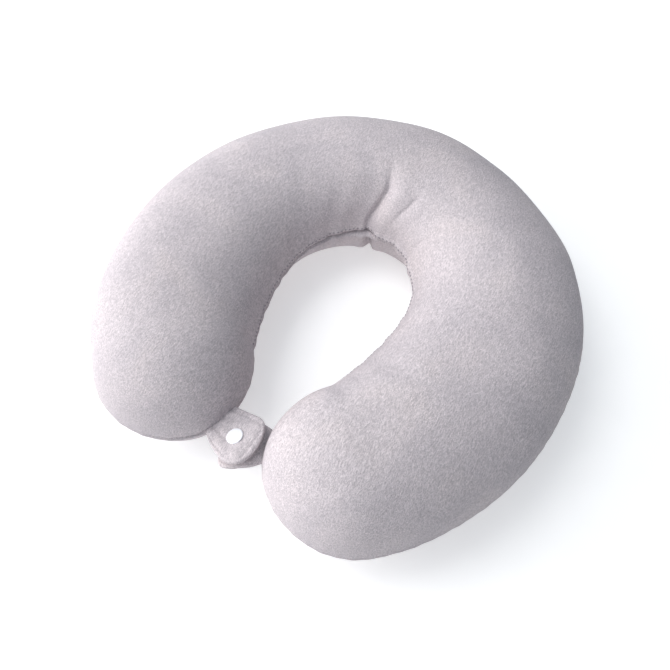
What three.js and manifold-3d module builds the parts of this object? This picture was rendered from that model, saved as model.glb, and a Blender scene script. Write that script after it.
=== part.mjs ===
// U shaped travel neck pillow: a moulded foam core in a sewn liner, a short-pile cover of two
// panels with a zip in its outer back seam, and two tabs that a snap fastener joins in front.
// Units are millimetres. +Z is up, the closed back of the U points to +Y and its mouth to -Y.
// The origin is below the middle of the pillow, on the surface that it lies on.
import * as THREE from 'three';
import { mergeVertices } from 'three/addons/utils/BufferGeometryUtils.js';
import Module from 'manifold-3d';

const wasm = await Module();
wasm.setup();

const degrees = Math.PI / 180;

// The U: a centreline in polar form, with the arms' width and height along it.
// Angle 0 is the middle of the back, and the arms end at plus and minus armEnd.
const pillow = {
  centreY: -37.2,
  armEnd: 135 * degrees,
  centreline: [108.7, 21.3, 10.08],
  halfWidth: [52.9, 2.66, -3.93],
  riseAboveSeam: [43, -2.45],
  depthBelowSeam: 45.5,
  seamHeight: 43,
  roundness: 2.15,
  cornerBulge: 3,
  cornerTurn: 104 * degrees,
  cornerSharpness: 1.6,
};
const mesh = { sideSteps: 36, capSteps: 10, rings: 6 };

// Layers, each as the distance of its outer and inner face from the cover's outer surface.
const seamGap = 0.15;
const cover = { outer: 0, inner: 2.4 };
const liner = { outer: 2.8, inner: 3.6 };
const coreInset = 3.9;

// The zip lies on an arc about a vertical axis, in the back half of the outer seam.
const zip = {
  centreY: pillow.centreY + 35.58,
  radius: 156.11,
  halfAngle: 39 * degrees,
  openingHalfAngle: 30 * degrees,
  openingHalfHeight: 5,
  recess: 2.8,
  steps: 26,
  coilGap: 0.65,
  coilHeight: 1.5,
  coilFaces: [1.2, 3.2],
  coilChamfer: 0.4,
  coilSetBack: 4,
  tapeFaces: [3.5, 4.1],
  tapeHeight: 8,
  tapeLean: 1.2,
  stopLength: 2.4,
  stopProud: 0.3,
  stopSetBack: 3.7,
};
const slider = {
  angle: -36.6 * degrees,
  length: 8.6,
  height: 8,
  cornerLength: 1,
  tailShare: 0.7,
  outerPlate: [-0.6, 0.6],
  innerPlate: [4.5, 5.3],
  postLength: 2.2,
  postHeight: 0.7,
  lugHeight: 3.2,
  lugThickness: 0.7,
  lugLength: 2.2,
  pinRadius: 0.5,
  pinStand: 1.8,
};
// The pull's lengths are counted from the middle of its eye.
const pull = {
  length: 19,
  width: 5.2,
  thickness: 1,
  eyeRadius: 1.3,
  eyeHeight: 1.6,
  holeRadius: 0.8,
  neck: [0.9, 3.2],
  shoulder: [2.6, 4.5],
  shoulderCut: 1.2,
};

const careLabel = {
  angle: -46 * degrees,
  width: 22,
  drop: 28,
  thickness: 0.5,
  stand: 0.5,
  topShare: 0.04,
  steps: 6,
};

// The two tabs. The tab plane passes through the snap and rises towards +X.
const snap = {
  x: 0,
  y: pillow.centreY - 89.6,
  z: 49.1,
  tilt: 20 * degrees,
  capRadius: 5.35,
  capHeight: 1.3,
  capEdge: 0.35,
  capShoulder: 0.75,
  postEnd: 0.4,
  bodyRadius: 4.95,
  postRadius: 0.9,
  holeRadius: 1.25,
  boreRadius: 2.9,
  knobRadius: 2.2,
  wall: 0.8,
  sides: 20,
};
const tab = {
  width: 35.4,
  ply: 1.5,
  gap: 0.3,
  reach: 14.9,
  tipRadius: 12,
  tipPower: 2.6,
  tipLeast: 0.03,
  rootGap: 0.5,
  frontTaper: 0.48,
  steps: 14,
  stepsAcross: 6,
  rootCrowding: 1.25,
};
// The lower tab: a curved hump from its root, then a flat run that is shorter than the upper tab.
const lowerTab = {
  length: 32,
  flatShare: 0.36,
  bend: 6,
  shortBy: 4.5,
  crestLead: 1.5,
  rootLean: 1.2,
  rootRise: 2.5,
};
// Heights along the snap's axis: 0 is the underside of the upper tab.
const stack = {
  upperBottomPly: 0,
  upperTopPly: tab.ply + tab.gap,
  upperCap: 2 * tab.ply + 2 * tab.gap,
  socketTop: -tab.gap,
  socketBottom: -3.3,
  studTop: -2.1,
  studBase: -3.6,
  studBottom: -4.6,
  lowerTopPly: -4.9 - tab.ply,
  lowerBottomPly: -4.9 - 2 * tab.ply - tab.gap,
  lowerCap: -4.9 - 2 * tab.ply - 2 * tab.gap,
};

function material(colour, roughness, metalness = 0) {
  return new THREE.MeshStandardMaterial({ color: colour, roughness, metalness });
}

const velvet = '#cfc8ce';
const lining = '#e9e6e2';
const foam = '#f1e7c4';
const tapeGrey = '#bdb7bd';
const resin = '#f6f6fa';
const nickel = '#b9babd';
const labelWhite = '#f4f4f2';

// ---- closed solids from vertices ----

function signedVolume(geometry) {
  const corners = [new THREE.Vector3(), new THREE.Vector3(), new THREE.Vector3()];
  const { position } = geometry.attributes;
  const order = geometry.index.array;
  let sum = 0;
  for (let start = 0; start < order.length; start += 3) {
    corners.forEach((corner, place) => corner.fromBufferAttribute(position, order[start + place]));
    sum += corners[0].dot(corners[1].cross(corners[2])) / 6;
  }
  return sum;
}

// The same geometry, its faces turned over if they look inward.
function facingOut(geometry) {
  if (signedVolume(geometry) < 0) {
    geometry.setIndex(Array.from(geometry.index.array).reverse());
  }
  return geometry;
}

function solid(points, faces) {
  const geometry = new THREE.BufferGeometry();
  geometry.setFromPoints(points);
  geometry.setIndex(faces.flat());
  return facingOut(geometry);
}

// A solid through a row of rings, each a closed loop with the same even number of points.
// Its two ends are strips from each point to the one that faces it.
function loft(rings) {
  const points = rings.flat();
  const count = rings[0].length;
  const faces = [];
  for (let ring = 0; ring + 1 < rings.length; ring += 1) {
    for (let side = 0; side < count; side += 1) {
      const next = (side + 1) % count;
      const here = ring * count;
      const there = here + count;
      faces.push([here + side, here + next, there + next]);
      faces.push([here + side, there + next, there + side]);
    }
  }
  const last = (rings.length - 1) * count;
  for (let side = 0; side < count / 2 - 1; side += 1) {
    const facing = count - 1 - side;
    faces.push([side, facing, facing - 1], [side, facing - 1, side + 1]);
    faces.push([last + side, last + facing - 1, last + facing]);
    faces.push([last + side, last + side + 1, last + facing - 1]);
  }
  return solid(points, faces);
}

function toManifold(geometry) {
  const bare = geometry.clone();
  bare.deleteAttribute('normal');
  bare.deleteAttribute('uv');
  const merged = mergeVertices(bare, 1e-4);
  return new wasm.Manifold(new wasm.Mesh({
    numProp: 3,
    vertProperties: new Float32Array(merged.attributes.position.array),
    triVerts: new Uint32Array(merged.index.array),
  }));
}

function fromManifold(body) {
  const result = body.getMesh();
  const geometry = new THREE.BufferGeometry();
  geometry.setAttribute('position', new THREE.BufferAttribute(result.vertProperties, 3));
  geometry.setIndex(new THREE.BufferAttribute(result.triVerts, 1));
  return geometry;
}

function joined(...geometries) {
  return fromManifold(geometries.map(toManifold).reduce((all, next) => all.add(next)));
}

function cut(geometry, tool) {
  return fromManifold(toManifold(geometry).subtract(toManifold(tool)));
}

// ---- the pillow's form ----

function cosineSum(terms, angle) {
  return terms.reduce((sum, term, order) => sum + term * Math.cos(order * angle), 0);
}

function spinePoint(angle) {
  const radius = cosineSum(pillow.centreline, angle);
  return new THREE.Vector2(radius * Math.sin(angle), radius * Math.cos(angle) + pillow.centreY);
}

function outwardNormal(angle) {
  const step = 0.001;
  const along = spinePoint(angle + step).sub(spinePoint(angle - step)).normalize();
  return new THREE.Vector2(-along.y, along.x);
}

// One place on the outline: its spine point, the way out and the half width there.
function sideStation(index, outward) {
  const angle = pillow.armEnd * (2 * index / mesh.sideSteps - 1);
  return {
    angle,
    outward,
    spineIndex: index,
    spine: spinePoint(angle),
    out: outwardNormal(angle).multiplyScalar(outward),
    halfWidth: cosineSum(pillow.halfWidth, angle),
  };
}

// How much fuller the arm's end is, by how far it has turned from the outer side.
function cornerBulge(turned) {
  const away = (turned - pillow.cornerTurn) * pillow.cornerSharpness;
  return pillow.cornerBulge * Math.max(0, Math.cos(away)) ** 2;
}

// The arm's end turns half a circle about its last spine point, fuller at its inner corner.
function capStation(index, arm) {
  const end = sideStation(arm > 0 ? mesh.sideSteps : 0, 1);
  const turned = Math.PI * (arm > 0 ? index : mesh.capSteps - index) / mesh.capSteps;
  const out = end.out.clone().rotateAround(new THREE.Vector2(), -arm * turned);
  return { ...end, outward: 0, out, halfWidth: end.halfWidth + cornerBulge(turned) };
}

function outlineStations() {
  const { sideSteps, capSteps } = mesh;
  const stations = [];
  for (let index = 0; index <= sideSteps; index += 1) {
    stations.push(sideStation(index, 1));
  }
  for (let index = 1; index < capSteps; index += 1) {
    stations.push(capStation(index, 1));
  }
  for (let index = sideSteps; index >= 0; index -= 1) {
    stations.push(sideStation(index, -1));
  }
  for (let index = 1; index < capSteps; index += 1) {
    stations.push(capStation(index, -1));
  }
  return stations;
}

const outline = outlineStations();

function overZip(station) {
  return station.outward > 0 && Math.abs(station.angle) < zip.openingHalfAngle + 0.01;
}

// A point of one layer: fall runs from 0 on the spine to a right angle at the seam.
function layerPoint(station, fall, side, inset, rim) {
  const power = 2 / pillow.roundness;
  const recessed = overZip(station) && inset >= liner.outer ? zip.recess * Math.sin(fall) ** 6 : 0;
  const reach = (station.halfWidth - inset - recessed) * Math.sin(fall) ** power;
  const height = side > 0 ? cosineSum(pillow.riseAboveSeam, station.angle) : pillow.depthBelowSeam;
  const fallen = Math.max(rim, (height - inset) * Math.max(0, Math.cos(fall)) ** power);
  const z = Math.max(inset, pillow.seamHeight + side * fallen);
  return new THREE.Vector3(
    station.spine.x + station.out.x * reach,
    station.spine.y + station.out.y * reach,
    z,
  );
}

// The points of one layer on one side of the seam: the spine's first, then ring by ring.
function layerPoints(side, inset, zipRim) {
  const points = [];
  for (let index = 0; index <= mesh.sideSteps; index += 1) {
    points.push(layerPoint(sideStation(index, 1), 0, side, inset, seamGap));
  }
  for (let ring = 1; ring <= mesh.rings; ring += 1) {
    for (const station of outline) {
      const rim = overZip(station) ? zipRim : seamGap;
      points.push(layerPoint(station, ring / mesh.rings * Math.PI / 2, side, inset, rim));
    }
  }
  return points;
}

// The place of a ring's vertex in the points of a layer.
function vertexIndex(ring, place) {
  const around = place % outline.length;
  if (ring === 0) return outline[around].spineIndex;
  return mesh.sideSteps + 1 + (ring - 1) * outline.length + around;
}

function quad(a, b, c, d) {
  const faces = [];
  if (a !== b && b !== c) faces.push([a, b, c]);
  if (a !== d && d !== c) faces.push([a, c, d]);
  return faces;
}

// The faces of one layer, its vertices counted from first.
function layerFaces(first, flipped) {
  const faces = [];
  for (let ring = 0; ring < mesh.rings; ring += 1) {
    for (let place = 0; place < outline.length; place += 1) {
      const corners = [
        vertexIndex(ring, place), vertexIndex(ring, place + 1),
        vertexIndex(ring + 1, place + 1), vertexIndex(ring + 1, place),
      ].map((corner) => corner + first);
      const pair = quad(...corners);
      faces.push(...(flipped ? pair.map((face) => face.reverse()) : pair));
    }
  }
  return faces;
}

// The band that joins the last ring of one layer to the last ring of the next.
function rimFaces(firstOuter, firstInner) {
  const faces = [];
  for (let place = 0; place < outline.length; place += 1) {
    const here = vertexIndex(mesh.rings, place);
    const next = vertexIndex(mesh.rings, place + 1);
    faces.push(...quad(here + firstOuter, next + firstOuter, next + firstInner, here + firstInner));
  }
  return faces;
}

function panel(side, layer, zipRim) {
  const outer = layerPoints(side, layer.outer, zipRim);
  const inner = layerPoints(side, layer.inner, zipRim);
  const count = outer.length;
  const faces = [
    ...layerFaces(0, false),
    ...rimFaces(0, count),
    ...layerFaces(count, true),
  ];
  return solid([...outer, ...inner], faces);
}

function core() {
  const top = layerPoints(1, coreInset, seamGap);
  const bottom = layerPoints(-1, coreInset, seamGap);
  const count = top.length;
  const faces = [...layerFaces(0, false), ...rimFaces(0, count), ...layerFaces(count, true)];
  return solid([...top, ...bottom], faces);
}

// ---- the zip ----

// A point on the zip's arc: how far round, how far in from the cover's surface, how far up.
function zipPoint(angle, inset, up) {
  const radius = zip.radius - inset;
  return new THREE.Vector3(
    radius * Math.sin(angle),
    zip.centreY + radius * Math.cos(angle),
    pillow.seamHeight + up,
  );
}

// A bar of constant section, given as [inset, up] corners, that follows the zip's arc.
function zipBar(section, from, to, steps) {
  const rings = [];
  for (let step = 0; step <= steps; step += 1) {
    const angle = from + (to - from) * step / steps;
    rings.push(section.map(([inset, up]) => zipPoint(angle, inset, up)));
  }
  return loft(rings);
}

function zipTape(side) {
  const [outer, inner] = zip.tapeFaces;
  const low = side * (zip.coilGap + 0.2);
  const bend = side * zip.openingHalfHeight / 2;
  const high = side * (zip.coilGap + zip.tapeHeight);
  const section = [
    [outer, low], [outer, bend], [outer + zip.tapeLean, high],
    [inner + zip.tapeLean, high], [inner, bend], [inner, low],
  ];
  return zipBar(section, -zip.halfAngle, zip.halfAngle, zip.steps);
}

function zipCoil(side) {
  const [outer, inner] = zip.coilFaces;
  const low = side * zip.coilGap;
  const high = side * (zip.coilGap + zip.coilHeight);
  const chamfer = zip.coilChamfer;
  const section = [
    [outer + chamfer, low], [outer, low + side * chamfer], [outer, high - side * chamfer],
    [outer + chamfer, high], [inner, high], [inner, low],
  ];
  const end = zip.halfAngle - zip.coilSetBack / zip.radius;
  return zipBar(section, -end, end, zip.steps);
}

function zipStop(end) {
  const [outer, inner] = zip.coilFaces;
  const half = zip.coilGap + zip.coilHeight;
  const face = outer - zip.stopProud;
  const section = [[face, -half], [face, half], [inner, half], [inner, -half]];
  const near = zip.halfAngle - zip.stopSetBack / zip.radius;
  return zipBar(section, end * near, end * (near + zip.stopLength / zip.radius), 2);
}

// A box in the slider's own frame: x along the zip, y out of the pillow, z up.
function box(low, high) {
  const size = high.map((value, axis) => value - low[axis]);
  const geometry = new THREE.BoxGeometry(...size);
  return geometry.translate(...high.map((value, axis) => (value + low[axis]) / 2));
}

// One plate of the slider: narrower at its tail, round at the two corners of its nose.
function plate(faces) {
  const half = slider.length / 2;
  const tall = slider.height / 2;
  const narrow = slider.tailShare * tall;
  const corner = half - slider.cornerLength;
  const shape = new THREE.Shape();
  shape.moveTo(-half, -narrow);
  shape.lineTo(-half, narrow);
  shape.lineTo(0, tall);
  shape.lineTo(corner, tall);
  shape.quadraticCurveTo(half, tall, half, tall / 2);
  shape.lineTo(half, -tall / 2);
  shape.quadraticCurveTo(half, -tall, corner, -tall);
  shape.lineTo(0, -tall);
  shape.closePath();
  const depth = faces[1] - faces[0];
  const geometry = new THREE.ExtrudeGeometry(shape, { depth, bevelEnabled: false, curveSegments: 3 });
  return geometry.rotateX(Math.PI / 2).translate(0, -faces[0], 0);
}

function sliderBody() {
  const half = slider.length / 2;
  const proud = -slider.outerPlate[0];
  const post = box(
    [half - slider.postLength, -slider.innerPlate[0] - 0.1, -slider.postHeight / 2],
    [half - 0.2, -slider.outerPlate[1] + 0.1, slider.postHeight / 2],
  );
  const lugs = [-1, 1].map((side) => {
    const middle = side * (slider.lugHeight - slider.lugThickness) / 2;
    return box(
      [-slider.lugLength / 2, proud - 0.1, middle - slider.lugThickness / 2],
      [slider.lugLength / 2, proud + slider.pinStand + 0.8, middle + slider.lugThickness / 2],
    );
  });
  const pin = new THREE.CylinderGeometry(slider.pinRadius, slider.pinRadius, slider.lugHeight - 0.2, 12);
  pin.rotateX(Math.PI / 2).translate(0, proud + slider.pinStand, 0);
  return joined(plate(slider.outerPlate), plate(slider.innerPlate), post, ...lugs, pin);
}

function pullBody() {
  const eye = new THREE.CylinderGeometry(pull.eyeRadius, pull.eyeRadius, pull.eyeHeight, 16);
  const hole = new THREE.CylinderGeometry(pull.holeRadius, pull.holeRadius, pull.eyeHeight + 1, 16);
  const thin = pull.thickness / 2;
  const tall = pull.eyeHeight / 2;
  const neck = box([pull.neck[0], -thin, -tall], [pull.neck[1], thin, tall]);
  const [shoulder, full] = pull.shoulder;
  const half = pull.width / 2;
  const narrow = half - pull.shoulderCut;
  const shape = new THREE.Shape();
  shape.moveTo(shoulder, -narrow);
  shape.lineTo(shoulder, narrow);
  shape.lineTo(full, half);
  shape.lineTo(pull.length - half, half);
  shape.absarc(pull.length - half, 0, half, Math.PI / 2, -Math.PI / 2, true);
  shape.lineTo(full, -half);
  shape.closePath();
  const extrusion = { depth: pull.thickness, bevelEnabled: false, curveSegments: 8 };
  const blade = new THREE.ExtrudeGeometry(shape, extrusion);
  blade.rotateX(Math.PI / 2).translate(0, pull.thickness / 2, 0);
  eye.rotateX(Math.PI / 2);
  hole.rotateX(Math.PI / 2);
  return cut(joined(eye, neck, blade), hole);
}

// ---- the care label, sewn into the seam beside the zip and lying down the bottom panel ----

function labelGeometry() {
  const rings = [];
  const station = {
    angle: careLabel.angle,
    outward: 1,
    spine: spinePoint(careLabel.angle),
    out: outwardNormal(careLabel.angle),
    halfWidth: cosineSum(pillow.halfWidth, careLabel.angle),
  };
  const across = new THREE.Vector3(station.out.y, -station.out.x, 0).multiplyScalar(careLabel.width / 2);
  const farthest = careLabel.drop / pillow.depthBelowSeam;
  for (let step = 0; step <= careLabel.steps; step += 1) {
    const share = careLabel.topShare + (1 - careLabel.topShare) * step / careLabel.steps;
    const fall = Math.PI / 2 - farthest * share;
    const near = layerPoint(station, fall, -1, -careLabel.stand, careLabel.stand);
    const far = layerPoint(
      station, fall, -1, -careLabel.stand - careLabel.thickness, careLabel.stand,
    );
    rings.push([
      near.clone().add(across), near.clone().sub(across),
      far.clone().sub(across), far.clone().add(across),
    ]);
  }
  return loft(rings);
}

// ---- the tabs and their snap ----

const snapCentre = new THREE.Vector3(snap.x, snap.y, snap.z);

// How far the left arm's end reaches towards +X at one y, at the height of the seam.
function armWallX(y) {
  const end = sideStation(0, 1);
  const outwardAngle = Math.atan2(end.out.y, end.out.x);
  let radius = end.halfWidth;
  let direction = 0;
  for (let round = 0; round < 6; round += 1) {
    direction = Math.asin((y - end.spine.y) / radius);
    const turned = direction - outwardAngle;
    radius = end.halfWidth + cornerBulge(turned);
  }
  return end.spine.x + radius * Math.cos(direction);
}

// The upper tab's underside in the XZ plane, from its root (0) to its tip (1), at one y.
function upperLine(share, y) {
  const thickness = 2 * tab.ply + tab.gap;
  const root = armWallX(y) + tab.rootGap + thickness * Math.sin(snap.tilt);
  const start = (root - snap.x) / Math.cos(snap.tilt);
  const along = start + (tab.reach - start) * share;
  return {
    x: snap.x + along * Math.cos(snap.tilt),
    z: snap.z + along * Math.sin(snap.tilt),
    lean: snap.tilt,
  };
}

// The lower tab leaves the other arm, humps up and runs down parallel to the upper one.
function lowerLine(share, y) {
  const { flatShare, bend, crestLead } = lowerTab;
  const along = new THREE.Vector2(Math.cos(snap.tilt), Math.sin(snap.tilt));
  const up = new THREE.Vector2(-along.y, along.x);
  const under = new THREE.Vector2(snap.x, snap.z).addScaledVector(up, stack.lowerBottomPly);
  const meet = under.clone().addScaledVector(along, bend);
  if (share >= flatShare) {
    const flatLength = tab.reach - lowerTab.shortBy + bend;
    const run = (share - flatShare) / (1 - flatShare) * flatLength;
    return { x: meet.x - run * along.x, z: meet.y - run * along.y, lean: snap.tilt };
  }
  const root = -armWallX(y) - tab.rootGap;
  const start = new THREE.Vector2(root - 2 * tab.ply - tab.gap, pillow.seamHeight - tab.ply);
  const steep = new THREE.Vector2(start.x - lowerTab.rootLean, start.y + lowerTab.rootRise);
  const crest = meet.clone().addScaledVector(along, crestLead);
  const curve = new THREE.CubicBezierCurve(start, steep, crest, meet);
  const point = curve.getPoint(share / flatShare);
  const slope = curve.getTangent(share / flatShare);
  return { x: point.x, z: point.y, lean: Math.atan2(-slope.y, -slope.x) };
}

// Half the tab's width at a distance from its tip: straight sides and a rounded tip.
function halfWidthNear(tipDistance) {
  const half = tab.width / 2;
  if (tipDistance >= tab.tipRadius) return half;
  const gone = 1 - tipDistance / tab.tipRadius;
  return half * Math.sqrt(Math.max(tab.tipLeast, 1 - gone ** tab.tipPower));
}

// A ply between two heights above the tab's underside. Its front edge draws in towards its root.
function ply(line, length, low, high) {
  const rings = [];
  for (let step = 0; step <= tab.steps; step += 1) {
    const share = 1 - (1 - step / tab.steps) ** tab.rootCrowding;
    const half = halfWidthNear((1 - share) * length);
    const lower = [];
    const upper = [];
    const frontHalf = half * (1 - tab.frontTaper * (1 - share) ** 2);
    for (let place = 0; place <= tab.stepsAcross; place += 1) {
      const across = 2 * place / tab.stepsAcross - 1;
      const y = snap.y + across * (across < 0 ? frontHalf : half);
      const middle = line(share, y);
      const normal = new THREE.Vector3(-Math.sin(middle.lean), 0, Math.cos(middle.lean));
      const base = new THREE.Vector3(middle.x, y, middle.z);
      lower.push(base.clone().addScaledVector(normal, low));
      upper.push(base.clone().addScaledVector(normal, high));
    }
    rings.push([...lower, ...upper.reverse()]);
  }
  return loft(rings);
}

function alongSnap(geometry) {
  return geometry.rotateX(Math.PI / 2).rotateY(-snap.tilt).translate(...snapCentre);
}

function snapHole(radius = snap.holeRadius) {
  return alongSnap(new THREE.CylinderGeometry(radius, radius, 40, snap.sides));
}

// A turned piece of the snap: its profile is [radius, height along the snap's axis].
function turned(profile) {
  const points = profile.map(([radius, height]) => new THREE.Vector2(radius, height));
  return alongSnap(facingOut(new THREE.LatheGeometry(points, snap.sides)));
}

// A cap: a low dome over the tab, with a post through both plies and a spread end.
function capProfile(seat, spread, facing) {
  const { capRadius, capHeight, capEdge, capShoulder, postRadius } = snap;
  const headRadius = 1.15 * snap.holeRadius;
  const end = spread - facing * snap.postEnd;
  return [
    [0, end], [headRadius, end], [headRadius, spread], [postRadius, spread], [postRadius, seat],
    [capRadius, seat], [capRadius, seat + facing * capEdge],
    [0.92 * capRadius, seat + facing * capShoulder],
    [0.6 * capRadius, seat + facing * 0.9 * capHeight], [0, seat + facing * capHeight],
  ];
}

function socketProfile() {
  const { socketTop, socketBottom } = stack;
  const ceiling = socketTop - snap.wall;
  return [
    [snap.holeRadius, socketTop], [snap.bodyRadius, socketTop], [snap.bodyRadius, ceiling],
    [snap.boreRadius + 1, socketBottom], [snap.boreRadius, socketBottom],
    [snap.boreRadius, ceiling], [snap.holeRadius, ceiling], [snap.holeRadius, socketTop],
  ];
}

function studProfile() {
  const { studTop, studBase, studBottom } = stack;
  const hollow = snap.knobRadius - 0.6;
  return [
    [snap.holeRadius, studBottom], [snap.bodyRadius, studBottom], [snap.bodyRadius, studBase],
    [snap.knobRadius, studBase], [snap.knobRadius, studTop], [hollow, studTop],
    [hollow, studBase + 0.2], [snap.holeRadius, studBase + 0.2], [snap.holeRadius, studBottom],
  ];
}

// ---- the scene graph ----

const pillowGroup = new THREE.Group();

function add(name, geometry, look) {
  const part = new THREE.Mesh(geometry, look);
  part.name = name;
  pillowGroup.add(part);
  return part;
}

function buildPillow() {
  const rim = zip.openingHalfHeight;
  add('foam_core', core(), material(foam, 0.95));
  add('liner_top_panel', panel(1, liner, seamGap), material(lining, 0.9));
  add('liner_bottom_panel', panel(-1, liner, seamGap), material(lining, 0.9));
  add('cover_top_panel', panel(1, cover, rim), material(velvet, 0.95));
  add('cover_bottom_panel', panel(-1, cover, rim), material(velvet, 0.95));
  add('care_label', labelGeometry(), material(labelWhite, 0.7));
}

function buildZip() {
  for (const [name, side] of [['upper', 1], ['lower', -1]]) {
    add(`zip_tape_${name}`, zipTape(side), material(tapeGrey, 0.85));
    add(`zip_coil_${name}`, zipCoil(side), material(tapeGrey, 0.45));
  }
  add('zip_stop_left', zipStop(-1), material(nickel, 0.35, 0.9));
  add('zip_stop_right', zipStop(1), material(nickel, 0.35, 0.9));
  const proud = -slider.outerPlate[0] + slider.pinStand;
  const place = zipPoint(slider.angle, 0, 0);
  const body = add('zip_slider', sliderBody(), material(nickel, 0.3, 0.9));
  body.position.copy(place);
  body.rotation.z = -slider.angle;
  const puller = add('zip_pull', pullBody(), material(nickel, 0.3, 0.9));
  puller.position.copy(zipPoint(slider.angle, -proud, 0));
  puller.rotation.z = -slider.angle;
}

function buildTabs() {
  const upperLength = tab.reach + (snap.x - armWallX(snap.y)) / Math.cos(snap.tilt);
  const { upperBottomPly, upperTopPly, upperCap, lowerTopPly, lowerBottomPly, lowerCap } = stack;
  const fabric = () => material(velvet, 0.95);
  const lowerRise = lowerTopPly - lowerBottomPly;
  const upperTop = ply(upperLine, upperLength, upperTopPly, upperTopPly + tab.ply);
  const upperBottom = ply(upperLine, upperLength, upperBottomPly, upperBottomPly + tab.ply);
  const lowerTop = ply(lowerLine, lowerTab.length, lowerRise, lowerRise + tab.ply);
  const lowerBottom = ply(lowerLine, lowerTab.length, 0, tab.ply);
  add('upper_tab_top_ply', cut(upperTop, snapHole()), fabric());
  add('upper_tab_bottom_ply', cut(upperBottom, snapHole()), fabric());
  add('snap_cap_upper', turned(capProfile(upperCap, stack.socketTop - 1.1, 1)), material(resin, 0.25));
  add('snap_socket', turned(socketProfile()), material(resin, 0.3));
  add('lower_tab_top_ply', cut(lowerTop, snapHole()), fabric());
  add('lower_tab_bottom_ply', cut(lowerBottom, snapHole()), fabric());
  add('snap_stud', turned(studProfile()), material(resin, 0.3));
  add('snap_cap_lower', turned(capProfile(lowerCap, stack.studBase + 0.5, -1)), material(resin, 0.25));
}

buildPillow();
buildZip();
buildTabs();

export default pillowGroup;
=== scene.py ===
"""Looks of the u shaped neck pillow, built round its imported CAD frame. Metres, +Z up.

Detailed pieces take the place of every CAD node but the two zip tapes, which keep their shapes.
"""
import math

import bmesh
import bpy
import numpy as np
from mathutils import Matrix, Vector


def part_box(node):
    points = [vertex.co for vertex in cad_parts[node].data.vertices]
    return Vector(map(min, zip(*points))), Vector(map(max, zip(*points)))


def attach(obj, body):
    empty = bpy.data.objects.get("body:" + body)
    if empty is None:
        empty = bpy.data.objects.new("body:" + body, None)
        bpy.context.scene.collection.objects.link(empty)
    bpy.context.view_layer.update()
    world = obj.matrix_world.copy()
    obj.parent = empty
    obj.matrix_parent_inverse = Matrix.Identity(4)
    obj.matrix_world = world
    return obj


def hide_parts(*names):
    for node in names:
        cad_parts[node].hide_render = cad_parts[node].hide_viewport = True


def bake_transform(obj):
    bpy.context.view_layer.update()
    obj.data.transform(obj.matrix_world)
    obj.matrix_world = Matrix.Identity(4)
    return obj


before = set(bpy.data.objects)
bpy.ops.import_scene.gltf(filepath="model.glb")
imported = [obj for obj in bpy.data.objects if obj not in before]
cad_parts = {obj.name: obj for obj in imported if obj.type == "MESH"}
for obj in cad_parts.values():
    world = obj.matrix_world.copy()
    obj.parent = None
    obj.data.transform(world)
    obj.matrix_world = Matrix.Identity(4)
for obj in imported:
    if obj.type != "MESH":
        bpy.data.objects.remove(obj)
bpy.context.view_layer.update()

# The U form, the same driving dimensions as the CAD's.
CENTRE_Y = -0.0372
ARM_END = math.radians(135)
CENTRELINE = (0.1087, 0.0213, 0.01008)
HALF_WIDTH = (0.0529, 0.00266, -0.00393)
RISE = (0.043, -0.00245)
DEPTH = 0.0455
SEAM_Z = 0.043
ROUNDNESS = 2.15
CORNER_BULGE = 0.003
CORNER_TURN = math.radians(104)

# The cover's grid: steps along each side, round each arm's end, and over each panel.
FINE = {"side": 480, "cap": 100, "rings": 48}
COARSE = {"side": 96, "cap": 20, "rings": 14}
SEAM_BAND = 0.012
TURNED_IN = 0.004
LINER_DEPTH = 0.0012
FOAM_DEPTH = 0.0022
STITCH_ROW = 6

# The simulated cover: its frames, how far a point may move, how much its panels grow and its seam
# shrinks, and the share of its wrinkles that stays, since the stuffing holds the velvet almost smooth.
CLOTH_FRAMES = 20
CLOTH_REACH = 0.006
PANEL_GROWTH = 0.035
SEAM_SHRINKING = 0.09
WRINKLE_SHARE = 0.35

# The zip lies on an arc in the outer back seam.
ZIP_CENTRE = Vector((0, CENTRE_Y + 0.03558, SEAM_Z))
ZIP_RADIUS = 0.15611
ZIP_OPENING = math.radians(30)
ZIP_RIM = 0.0046
ZIP_RECESS = 0.0045
ZIP_COIL_END = math.radians(37.5)
COIL_PITCH = 0.0012
COIL_WIRE = 0.00033
COIL_INSETS = (0.0013, 0.0031)
COIL_REACH = (0.0004, 0.0021)

# The tabs: the snap's axis and the tab plane, which rises towards +X.
SNAP = Vector((0, CENTRE_Y - 0.0896, 0.0491))
TILT = math.radians(20)
TAB_ALONG = Vector((math.cos(TILT), 0, math.sin(TILT)))
TAB_UP = Vector((-math.sin(TILT), 0, math.cos(TILT)))
TAB_WIDTH = 0.0354
TAB_REACH = 0.0151
UPPER_TAPER = (0.85, 1.6)
LOWER_TAPER = (0.95, 3.0)
TAB_TIP = 0.012
TAB_EDGE_ROLL = 0.0022
TAB_SEWN_IN = 0.003
TAB_DROOP_START = 0.72
LOWER_LENGTH = 0.036
LOWER_FLAT_START = 0.42
LOWER_BEND = 0.006
PLY = 0.0015
PLY_GAP = 0.0003
PLY_CLEARANCE = 0.00008
LOWER_STACK = -0.0049 - 2 * PLY - PLY_GAP
CAP_RADIUS = 0.00535
SNAP_DENT = 0.0008
SNAP_DENT_RADIUS = 0.0068
SNAP_SIDES = 64

# The care label hangs from the outer seam, ARM_RADIUS from the middle of the U.
LABEL_ANGLE = math.radians(-46)
LABEL_HALF_WIDTH = 0.0105
LABEL_LIFTS = (0.0006, 0.0010)
LABEL_CURL = 0.0012
ARM_RADIUS = 0.19

# The stitches: how far apart, how long, how thick, and how deep the thread lies in the pile.
STITCH_PITCH = 0.0030
STITCH_LENGTH = 0.0014
STITCH_RADIUS = 0.00045
STITCH_SINK = 0.00005

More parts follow.
